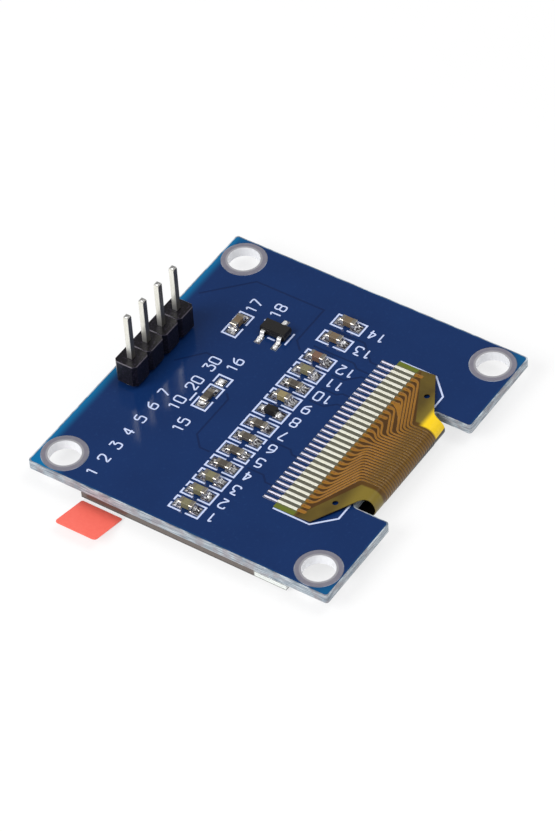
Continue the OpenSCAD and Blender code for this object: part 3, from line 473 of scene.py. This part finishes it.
cap_tin = Finish("cap_plating", metallic=1.0, roughness=0.26)
cap_tin.set(base_color=cap_tin.mix(cap_tin.grain(0.1), srgb(150, 142, 132), srgb(228, 220, 206)))
cap_tin.bump(cap_tin.grain(0.07), 0.008)
dress([f"capacitor_{i}_end_caps" for i in range(1, len(capacitor_finishes) + 1)], cap_tin)
dress([f"resistor_{i}_end_caps" for i in range(1, resistor_count + 1)], cap_tin)

epoxy = ceramic("epoxy_body", srgb(10, 9, 9), srgb(28, 24, 22))
dress(["diode_body", "regulator_body"], epoxy)

lead_tin = Finish("lead_plating", metallic=0.45, roughness=0.22)
lead_tin.set(base_color=lead_tin.mix(lead_tin.grain(0.15), srgb(216, 214, 212), srgb(255, 255, 255)))
lead_tin.bump(lead_tin.grain(0.12), 0.01)
dress(["diode_leads", "regulator_leads"], lead_tin)


def add_to(store, store_faces, made):
    """Appends vertices and faces to a growing mesh."""
    start = len(store)
    store += made[0]
    store_faces += [tuple(start + i for i in face) for face in made[1]]


def circle(count):
    """Points round a circle of radius 1."""
    angles = [math.tau * i / count for i in range(count)]
    return [(math.cos(a), math.sin(a)) for a in angles]


drop_profile = [(1.0, 0.0), (0.95, 0.35), (0.8, 0.65), (0.55, 0.87), (0.25, 0.98), (0.05, 1.0)]
drop_foot = sizes("component_lands")[1].z

# Each drop's x, y, half-width, half-depth and height
spare_drop = [(0.0, 6.72, 0.34, 0.34, 0.34)]
diode_drops = [(-0.86, y, 0.26, 0.2, 0.28) for y in (-0.5, 1.34)]
regulator_drops = [(x, y, 0.36, 0.25, 0.24) for x, y in ((6.6, 4.9), (6.6, 6.8), (9.7, 5.85))]
chip_drops = [(-3.2, 6.72, 0.2, 0.32, 0.3), (6.4, 9.72, 0.2, 0.32, 0.36)]

drops, drop_faces = [], []
for x, y, half_x, half_y, drop_h in spare_drop + diode_drops + regulator_drops + chip_drops:
    rings = [[Vector((x + half_x * share * c, y + half_y * share * s, drop_foot + drop_h * rise))
              for c, s in circle(20)] for share, rise in drop_profile]
    add_to(drops, drop_faces, loft(rings))
piece("solder_drops", drops, drop_faces, lead_tin, "solder", [])


# ---- Flexible circuit ----
# One polyimide sheet that lies on the board, climbs to the notch and folds round
# its edge. Shapes on it are drawn flat, as x across and s along from where it
# starts to climb, and film_at wraps them round its path.

film_low, film_high = sizes("flex_film")
film_t = 0.08
contact_raise = 0.02
bond_d = 1.1
film_flat_z = sizes("flex_contacts")[1].z - contact_raise
climb = math.radians(4.5)
lift_r = 3.0 - film_t
lift_l = lift_r * climb
fold_r = (film_high.z - film_low.z) / 2
fold_y, fold_z = film_low.y + fold_r, film_low.z + fold_r
climb_z = film_flat_z + lift_r * (1 - math.cos(climb))
climb_l = (fold_z + fold_r * math.cos(climb) - climb_z) / math.sin(climb)
climb_y = fold_y + fold_r * math.sin(climb) + climb_l * math.cos(climb)
fold_l = fold_r * (math.pi + climb)
tail_l = sizes("base_glass")[0].y + bond_d - fold_y
board_end = climb_y + lift_r * math.sin(climb) - film_high.y - lift_l
tail_end = climb_l + fold_l + tail_l


def film_at(x, s, rise=0.0):
    """The point on the film's outer face at x and s, or rise above it."""
    if s < -lift_l:
        turn, y, z = 0.0, climb_y + lift_r * math.sin(climb) - lift_l - s, film_flat_z
    elif s < 0:
        turn = -climb * (1 + s / lift_l)
        y = climb_y + lift_r * (math.sin(climb) + math.sin(turn))
        z = film_flat_z + lift_r * (1 - math.cos(turn))
    elif s < climb_l:
        turn, y, z = -climb, climb_y - s * math.cos(climb), climb_z + s * math.sin(climb)
    elif s < climb_l + fold_l:
        turn = (s - climb_l) / fold_r - climb
        y, z = fold_y - fold_r * math.sin(turn), fold_z + fold_r * math.cos(turn)
    else:
        turn, y, z = math.pi, fold_y + s - climb_l - fold_l, fold_z - fold_r
    return Vector((x, y - rise * math.sin(turn), z + rise * math.cos(turn)))


def spread(path, step):
    """The same polyline with points no further apart than step."""
    points = [path[0]]
    for start, end in zip(path, path[1:]):
        count = max(1, math.ceil((end - start).length / step))
        points += [start.lerp(end, i / count) for i in range(1, count + 1)]
    return points


def rounded(corners, radius, steps=6):
    """A polyline whose inner corners are rounded by curves that start radius before each."""
    points = [corners[0]]
    for before, corner, after in zip(corners, corners[1:], corners[2:]):
        start = corner + (before - corner).normalized() * min(radius, (before - corner).length / 2)
        end = corner + (after - corner).normalized() * min(radius, (after - corner).length / 2)
        for i in range(steps + 1):
            t = i / steps
            points.append(start * (1 - t) ** 2 + corner * 2 * t * (1 - t) + end * t ** 2)
    return points + [corners[-1]]


def ridge(points, half_widths, height, at, shape):
    """Vertices and faces of a raised line along points, with half-width and height in millimetres.
    shape lists its cross-section as (share of the half-width, share of the height)."""
    vertices, faces = [], []
    for i, point in enumerate(points):
        way = (points[min(i + 1, len(points) - 1)] - points[max(i - 1, 0)]).normalized()
        side = Vector((-way.y, way.x)) * half_widths[i]
        vertices += [at(*(point + side * across), height * share) for across, share in shape]
    for i in range(len(points) - 1):
        for j in range(len(shape) - 1):
            a = i * len(shape) + j
            faces.append((a, a + len(shape), a + len(shape) + 1, a + 1))
    return vertices, faces


dome = [(-1, -0.4), (-0.8, 0.55), (-0.4, 0.9), (0, 1), (0.4, 0.9), (0.8, 0.55), (1, -0.4)]

side_x = film_high.x
side_l = 4.05
neck_x = 6.05
throat_reach = 0.75
shoulder = math.radians(30.5)
side_s = board_end + side_l
throat_s = side_s + (side_x - neck_x) * math.tan(shoulder)

hole_r = 0.3
hole_side = 2.97
hole_shift = 0.16
hole_s = board_end + 4.84
holes = [Vector((side * (side_x - hole_side) + hole_shift, hole_s)) for side in (1, -1)]

corners = [Vector((side_x, board_end)), Vector((side_x, side_s)),
           Vector((neck_x, throat_s)), Vector((neck_x, tail_end))]
right_edge = spread(corners[:2] + rounded(corners[1:], throat_reach)[1:], 0.25)
outline = right_edge + [Vector((-p.x, p.y)) for p in reversed(right_edge)]


def film_half(s):
    """Half the film's width at s."""
    for near, far in zip(right_edge, right_edge[1:]):
        if near.y <= s <= far.y and far.y > near.y:
            return near.x + (far.x - near.x) * (s - near.y) / (far.y - near.y)
    return neck_x


def off_holes(spot, gap=0.0):
    """Whether a spot on the film is further than gap from both location holes."""
    return all((spot - centre).length > hole_r + gap for centre in holes)


points = list(outline)
loops = [list(range(len(outline)))]
for centre in holes:
    ring = [centre + Vector(p) * hole_r for p in circle(24)]
    loops.append(list(range(len(points), len(points) + len(ring))))
    points += ring
rows, columns = 120, 30
edge_gap, hole_gap = 0.12, 0.1
for i in range(1, rows):
    s = board_end + (tail_end - board_end) * i / rows
    reach_x = film_half(s) - edge_gap
    for j in range(columns + 1):
        spot = Vector((reach_x * (2 * j / columns - 1), s))
        if off_holes(spot, hole_gap):
            points.append(spot)
edges = [(loop[i], loop[(i + 1) % len(loop)]) for loop in loops for i in range(len(loop))]
flat, _, triangles, *_ = delaunay_2d_cdt(points, edges, [loops[0]], 1, 1e-5)
triangles = [t for t in triangles if off_holes((flat[t[0]] + flat[t[1]] + flat[t[2]]) / 3)]
count = len(flat)
vertices = [film_at(p.x, p.y) for p in flat] + [film_at(p.x, p.y, -film_t) for p in flat]
faces = [tuple(reversed(t)) for t in triangles] + [tuple(count + i for i in t) for t in triangles]
sides = {(t[i], t[(i + 1) % 3]) for t in triangles for i in range(3)}
faces += [(a, b, b + count, a + count) for a, b in sides if (b, a) not in sides]

def neck_share(finish):
    """1 from the neck to the fold, running out over the fan of the tracks."""
    return 1.0 - smooth_step(finish.axis("Y"), fold_y + 0.5, fold_y + 2.2)


def fold_shade(finish):
    """1 on the fold's underside, which little light reaches."""
    return 1.0 - smooth_step(finish.axis("Z") - finish.axis("X") * 0.07, fold_z - 0.2, fold_z - 0.12)


film = Finish("polyimide_film", roughness=0.32, specular_ior_level=0.35)
fx, fy = film.axis("X"), film.axis("Y")
tone = film.grain(1.6)
on_neck = neck_share(film)
margin = film.mix(tone, srgb(68, 53, 15), srgb(104, 86, 28))
margin = film.mix(on_neck * 0.7, margin, srgb(134, 116, 40))
gap = film.mix(on_neck * 0.6, film.mix(tone, srgb(62, 37, 2), srgb(82, 52, 7)), srgb(92, 64, 12))
fan_side, fan_neck, fan_slope = 9.9, 4.75, 1.9
fan_edge = (fan_side - (climb_y - 0.8 - fy) * fan_slope).most(fan_neck)
inside_fan = 1.0 - smooth_step(fx.size() - fan_edge, -0.15, 0.1)
past_contacts = 1.0 - smooth_step(fy, climb_y - 0.4, climb_y - 0.1)
copper_side = film.mix(inside_fan * past_contacts, margin, gap)
over_lands = smooth_step(fy, climb_y - 0.15, climb_y + 0.1)
green_end = smooth_step(fx.size(), side_x - 0.8, side_x - 0.3)
strip = film.mix(green_end, srgb(90, 89, 76), srgb(96, 106, 30))
face_colour = film.mix(over_lands, copper_side, strip)
# Painted light: bright yellow beside the neck, where light from the table shines through the film.
painted_backlit_patch = smooth_step(fx, 4.3, 4.6) * (1.0 - smooth_step(fy, fold_y + 0.15, fold_y + 0.9))
face_colour = film.mix(painted_backlit_patch, face_colour, srgb(244, 204, 24))
film.set(base_color=film.mix(fold_shade(film), face_colour, srgb(20, 14, 8)))
film.bump(film.grain(0.5), 0.004)
piece("flex_sheet", vertices, faces, film, "film_amber", ["flex_film"])


# ---- Copper tracks of the flexible circuit ----
# Rounded lines that fan in from the contacts to the neck and follow the fold. Some
# contacts end in a stub, and one runs into its neighbours by a broad pour. A small
# dark pit marks the start of each.

contacts = 30
contact_low, contact_high = sizes("flex_contacts")
finger_w = 0.42
contact_pitch = (contact_high.x - contact_low.x - finger_w) / (contacts - 1)
track_pitch = 0.342
track_slope = 0.47
root_l = 0.85
root_half, track_half = 0.22, 0.115
taper_start, taper_l = root_l * 0.55, 0.45
short_shift, short_run = 1.2, 0.6
track_bend = 0.4
stub_l, stub_round = 0.95, 0.2
pour_half, pour_taper = 0.36, 0.27
pit_s, pit_shift = 0.28, 0.12
track_h, pour_h, pit_h = 0.03, 0.032, 0.045
stubs = (0, 1, 20, 29)
joined = 23
runs = [k for k in range(contacts) if k not in stubs and k != joined]


def contact_x(k):
    return (k - (contacts - 1) / 2) * contact_pitch


copper, copper_faces = [], []
pits, pit_faces = [], []
for column, k in enumerate(runs):
    x, goal = contact_x(k), (column - (len(runs) - 1) / 2) * track_pitch
    bend_s = root_l + abs(goal - x) * track_slope
    if abs(goal - x) < short_shift:
        bend_s = root_l + short_run
    corners = [Vector((x, 0.0)), Vector((x, root_l)), Vector((goal, bend_s)), Vector((goal, tail_end - 0.05))]
    line = spread(rounded(corners, track_bend), 0.1)
    tapers = [max(0.0, 1 - max(0.0, p.y - taper_start) / taper_l) for p in line]
    widths = [track_half + (root_half - track_half) * taper for taper in tapers]
    add_to(copper, copper_faces, ridge(line, widths, track_h, film_at, dome))
for k in stubs + (joined,):
    x = contact_x(k)
    line = spread([Vector((x, 0.0)), Vector((x, stub_l))], 0.1)
    ends = [max(0.0, (p.y - stub_l + stub_round) / stub_round) for p in line]
    widths = [root_half * math.sqrt(max(0.05, 1 - end ** 2)) for end in ends]
    add_to(copper, copper_faces, ridge(line, widths, track_h, film_at, dome))
x = contact_x(joined)
pour_corners = [(0.0, 0.6), (0.45, 1.15), (1.3, 1.75), (2.1, 2.15)]
pour = spread([Vector((x - shift, s)) for shift, s in pour_corners], 0.1)
widths = [pour_half - pour_taper * i / len(pour) for i in range(len(pour))]
add_to(copper, copper_faces, ridge(pour, widths, pour_h, film_at, dome))
pit_stations = [(-0.06, 0.03), (-0.03, 0.08), (0.03, 0.08), (0.06, 0.03)]
for k in range(contacts):
    spot = Vector((contact_x(k), pit_s + pit_shift * ((k * 7) % 3 - 1)))
    line = [spot + Vector((0, shift)) for shift, _ in pit_stations]
    add_to(pits, pit_faces, ridge(line, [half for _, half in pit_stations], pit_h, film_at, dome))

track = Finish("covered_copper", roughness=0.34, specular_ior_level=0.4)
warm = track.mix(track.grain(1.2), srgb(130, 86, 20), srgb(154, 106, 28))
# Copper is darker from the neck to the fold.
neck_copper = track.mix(track.grain(0.9), srgb(98, 68, 12), srgb(120, 86, 18))
tinted_copper = track.mix(neck_share(track), warm, neck_copper)
track.set(base_color=track.mix(fold_shade(track), tinted_copper, srgb(24, 16, 8)))
track.bump(track.grain(0.2, stretch=(1, 5, 1)), 0.003)
piece("copper_lines", copper, copper_faces, track, "copper_track", ["flex_tracks"])

pit = Finish("plating_pits", roughness=0.6)
pit.set(base_color=pit.mix(pit.grain(0.1), srgb(86, 40, 10), srgb(128, 64, 20)))
piece("plating_pits", pits, pit_faces, pit, "copper_track", [])


# ---- Tinned contacts and their lands ----
# Domed fingers of tin on the film, and beads of solder on the board's lands past
# its edge. Their sides wander a little, as solder's do.

finger_half, finger_wave, finger_h = 0.17, 0.014, 0.06
bead_half, bead_wave, bead_h = 0.105, 0.01, 0.045

fingers, finger_faces = [], []
for k in range(contacts):
    line = spread([Vector((contact_x(k), board_end - 0.02)), Vector((contact_x(k), -0.05))], 0.15)
    wave = [finger_half + finger_wave * noise.noise(Vector((k * 3.1, p.y * 1.7, 0))) for p in line]
    wave[0], wave[-1] = 0.13, 0.15
    add_to(fingers, finger_faces, ridge(line, wave, finger_h, film_at, dome))
contact = Finish("tinned_contact", metallic=0.35, roughness=0.3)
streaks = contact.grain(0.5, stretch=(1, 3, 1))
contact.set(base_color=contact.mix(streaks, srgb(236, 232, 208), srgb(255, 255, 246)))
contact.bump(contact.grain(0.2), 0.012)
piece("film_fingers", fingers, finger_faces, contact, "solder", ["flex_contacts"])

land_high = sizes("flex_lands")[1]


def board_at(x, y, rise=0.0):
    """A point over the board's component side, rise above the lands."""
    return Vector((x, y, land_high.z + rise))


lands, land_faces = [], []
for k in range(contacts):
    x = contact_x(k)
    line = spread([Vector((x, film_high.y - 0.05)), Vector((x, land_high.y - 0.02))], 0.15)
    wave = [bead_half + bead_wave * noise.noise(Vector((k * 2.3, p.y * 2, 5))) for p in line]
    wave[-1] = 0.08
    add_to(lands, land_faces, ridge(line, wave, bead_h, board_at, dome))
land_solder = Finish("land_solder", metallic=0.2, roughness=0.3)
land_solder.set(base_color=land_solder.mix(land_solder.grain(0.4), srgb(226, 220, 246), srgb(250, 248, 255)))
land_solder.bump(land_solder.grain(0.2), 0.01)
piece("land_solder_beads", lands, land_faces, land_solder, "solder", [])


# ---- Printed numbers ----
# Plain numbers in the outlines' white ink, drawn with a round-cornered stroke on
# a grid where a digit is 0.6 wide and 1 high.

digit_lines = {
    "0": [[(0.3, 0), (0, 0), (0, 1), (0.6, 1), (0.6, 0), (0.3, 0)]],
    "1": [[(0.1, 0.8), (0.35, 1), (0.35, 0)]],
    "2": [[(0, 0.75), (0, 1), (0.6, 1), (0.6, 0.55), (0, 0), (0.6, 0)]],
    "3": [[(0, 1), (0.6, 1), (0.2, 0.6), (0.6, 0.55), (0.6, 0), (0, 0), (0, 0.2)]],
    "4": [[(0.45, 0), (0.45, 1)], [(0.42, 1), (0, 0.3), (0.6, 0.3)]],
    "5": [[(0.55, 1), (0.05, 1), (0, 0.55), (0.6, 0.65), (0.6, 0), (0, 0), (0, 0.15)]],
    "6": [[(0.5, 1), (0, 0.7), (0, 0), (0.6, 0), (0.6, 0.6), (0.08, 0.5)]],
    "7": [[(0, 1), (0.6, 1), (0.2, 0)]],
    "8": [[(0.3, 0.53), (0, 0.53), (0, 1), (0.6, 1), (0.6, 0.53), (0.3, 0.53)],
          [(0.1, 0.5), (0, 0.4), (0, 0), (0.6, 0), (0.6, 0.4), (0.5, 0.5)]],
    "9": [[(0.1, 0), (0.6, 0.3), (0.6, 1), (0, 1), (0, 0.4), (0.52, 0.5)]],
}
digit_h = 1.15
digit_pitch = 1.0
digit_corner = 0.22
stroke_half = 0.08
stroke_shape = [(-1, 1), (1, 1)]
layer_step = 0.003
number_top = mask_top + 0.012


def ink_at(x, y, rise=0.0):
    return Vector((x, y, number_top + rise))


numbers, number_faces = [], []


def print_number(text, x, y, turned=False):
    """Draws digits from their lower left corner at x, y, or running towards the header."""
    for place, digit in enumerate(text):
        for layer, line in enumerate(digit_lines.get(digit, [])):
            drawn = rounded([Vector(p) for p in line], digit_corner, 4)
            if turned:
                spots = [Vector((x - p.y * digit_h, y + p.x * digit_h + place * digit_pitch)) for p in drawn]
            else:
                spots = [Vector((x + p.x * digit_h + place * digit_pitch, y + p.y * digit_h)) for p in drawn]
            add_to(numbers, number_faces,
                   ridge(spots, [stroke_half] * len(spots), layer * layer_step, ink_at, stroke_shape))


print_number("1 2 3 4 5 6 7", -16.2, 10.1)
print_number("10 20 30", -5.2, 8.3)
print_number("15", -7.4, 6.35)
print_number("16", 1.8, 6.35)
print_number("17", 9.4, 9.2)
print_number("18", 10.0, 6.8)
row_end_y = -1.6
row = ["diode_body"] + [f"capacitor_{i}_body" for i in range(1, 9)]
row += [f"resistor_{i}_body" for i in range(1, 6)]
for i, x in enumerate(sorted((low.x + high.x) / 2 for low, high in map(sizes, row)), 1):
    print_number(str(i), x + digit_h / 2, row_end_y - len(str(i)) * digit_pitch, turned=True)
piece("printed_numbers", numbers, number_faces, ink, "ink", [])


# ---- Display panel ----
# Two sheets of glass that are dark where the light-emitting layers lie between
# them, with a clear ledge under the folded film painted near white: painted light through the glass.

panel_end = sizes("cover_glass")[0].y
panel_bottom = sizes("base_glass")[0].z
glass = Finish("panel_glass", roughness=0.08, specular_ior_level=0.5)
tinted = glass.mix(glass.grain(3.0), srgb(40, 36, 34), srgb(62, 56, 52))
level_line = smooth_step(glass.axis("Z"), panel_bottom + 0.05, panel_bottom + 0.2)
layered = glass.mix(level_line, tinted, srgb(100, 90, 84))
on_ledge = 1.0 - smooth_step(glass.axis("Y"), panel_end - 0.1, panel_end + 0.1)
rim_line = 1.0 - smooth_step(glass.axis("Z"), panel_bottom + 0.03, panel_bottom + 0.12)
# Painted light: the ledge is near white, for light that comes through the clear glass, and darker at its very
# bottom.
painted_light_ledge = glass.mix(rim_line, srgb(232, 236, 232), srgb(110, 112, 108))
glass.set(base_color=glass.mix(on_ledge, layered, painted_light_ledge))
dress(["cover_glass", "base_glass"], glass)

dark = ceramic("dark_layers", srgb(10, 11, 14), srgb(18, 20, 24))
dress(["emitter_layers", "polariser", "driver_chip"], dark)

tape = ceramic("white_tape", srgb(214, 214, 208), srgb(238, 238, 234))
dress(["mounting_tape"], tape)


# ---- Protective film and pull tab ----
# Clear film on the viewing side, which hardly shows over the dark panel, and the
# matt coral tab that peels it off.

clear = Finish("clear_film", roughness=0.1, alpha=0.07)
clear.set(base_color=clear.mix(clear.grain(2.0), srgb(176, 184, 190), srgb(206, 210, 214)))
dress(["protective_film"], clear)

tab = Finish("coral_tab", roughness=0.5)
tab.set(base_color=tab.mix(tab.grain(0.4), srgb(250, 104, 88), srgb(255, 118, 102)))
dress(["pull_tab"], tab)
